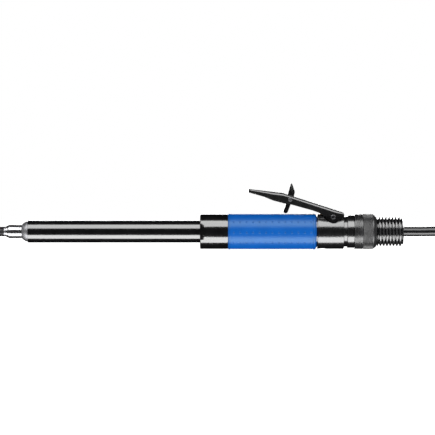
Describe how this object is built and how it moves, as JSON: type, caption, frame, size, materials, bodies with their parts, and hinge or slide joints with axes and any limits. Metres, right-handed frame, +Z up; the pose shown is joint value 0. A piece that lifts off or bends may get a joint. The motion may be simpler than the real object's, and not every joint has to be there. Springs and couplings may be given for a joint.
{
  "type": "pneumatic rivet gun",
  "caption": "In-line air rivet gun: long black barrel, blue grip, lever throttle with lock-off latch, regulator ring, threaded exhaust tail and a short air hose.",
  "frame": {"origin": "on the tool's axis, at the front end of the barrel tube", "axes": "+X along the axis from the nose towards the hose, +Z up through the throttle lever, +Y to the side"},
  "size_m": [0.723, 0.0725, 0.0703],
  "materials": {
    "black_steel": "gloss",
    "lever_black": "gloss",
    "dark_steel": "satin",
    "chrome_sleeve": "polished",
    "satin_steel": "satin",
    "inner_steel": "satin",
    "knurled_grey": "matte",
    "ridged_black": "satin",
    "tail_black": "gloss",
    "grip_blue": "satin",
    "bronze": "satin",
    "brass_fitting": "satin",
    "seal_rubber": "matte",
    "hose_rubber": "gloss",
    "pin_steel": "satin",
    "spring_steel": "polished",
    "plated_steel": "satin",
    "strap_black": "matte"
  },
  "bodies": {
    "root": {"nose_sleeve": "chrome_sleeve", "set_retainer": "spring_steel", "nose_cone": "satin_steel", "set_bushing": "bronze", "barrel_tube": "black_steel", "barrel_seal": "seal_rubber", "front_collar": "black_steel", "valve_chest": "inner_steel", "valve_cap": "inner_steel", "cap_buffer": "seal_rubber", "handle_housing": "black_steel", "grip_sleeve": "grip_blue", "valve_body": "black_steel", "body_seals": "seal_rubber", "stem_bush": "bronze", "valve_seat": "bronze", "valve_spring": "spring_steel", "valve_plug": "black_steel", "lever_pin": "pin_steel", "lock_ring": "black_steel", "exhaust_ring": "ridged_black", "regulator_seal": "seal_rubber", "exhaust_tail": "tail_black", "silencer_disc": "bronze", "inlet_adapter": "brass_fitting", "inlet_screen": "spring_steel", "hose_ferrule": "plated_steel", "supply_hose": "hose_rubber", "hose_hank": "hose_rubber", "hose_end": "hose_rubber", "hose_tie": "strap_black", "plug_ferrule": "plated_steel", "hose_plug": "plated_steel"},
    "set": {"rivet_set": "dark_steel"},
    "piston": {"piston": "inner_steel"},
    "shuttle": {"shuttle_valve": "bronze"},
    "throttle": {"throttle_stem": "spring_steel", "throttle_valve": "seal_rubber"},
    "lever": {"throttle_lever": "lever_black", "latch_pin": "pin_steel", "latch_spring": "spring_steel"},
    "latch": {"lock_off_latch": "lever_black"},
    "regulator": {"regulator_ring": "knurled_grey"}
  },
  "joints": [
    {"name": "set_slide", "type": "slide", "parent": "root", "child": "set", "axis": [-1, 0, 0], "range_m": [0, 0.006]},
    {"name": "piston_slide", "type": "slide", "parent": "root", "child": "piston", "axis": [-1, 0, 0], "range_m": [0, 0.1015]},
    {"name": "shuttle_slide", "type": "slide", "parent": "root", "child": "shuttle", "axis": [1, 0, 0], "range_m": [0, 0.0035]},
    {"name": "lever_hinge", "type": "hinge", "parent": "root", "child": "lever", "pos_m": [0.3253, 0, 0.0152], "axis": [0, -1, 0], "range_deg": [0, 9.5], "stiffness_Nm_per_rad": 2, "springref_deg": -11.46},
    {"name": "latch_hinge", "type": "hinge", "parent": "lever", "child": "latch", "pos_m": [0.2796, 0, 0.0343], "axis": [0, 1, 0], "range_deg": [0, 76.5]},
    {"name": "throttle_slide", "type": "slide", "parent": "root", "child": "throttle", "axis": [0, 0, -1], "range_m": [0, 0.0024], "deforming": ["valve_spring"]},
    {"name": "regulator_turn", "type": "hinge", "parent": "root", "child": "regulator", "pos_m": [0.364, 0, 0], "axis": [1, 0, 0], "range_deg": [0, 270]}
  ],
  "couplings": [
    {"joint": "latch_hinge", "follows": "lever_hinge", "ratio": 8},
    {"joint": "throttle_slide", "follows": "lever_hinge", "m_per_rad": 0.0139}
  ]
}
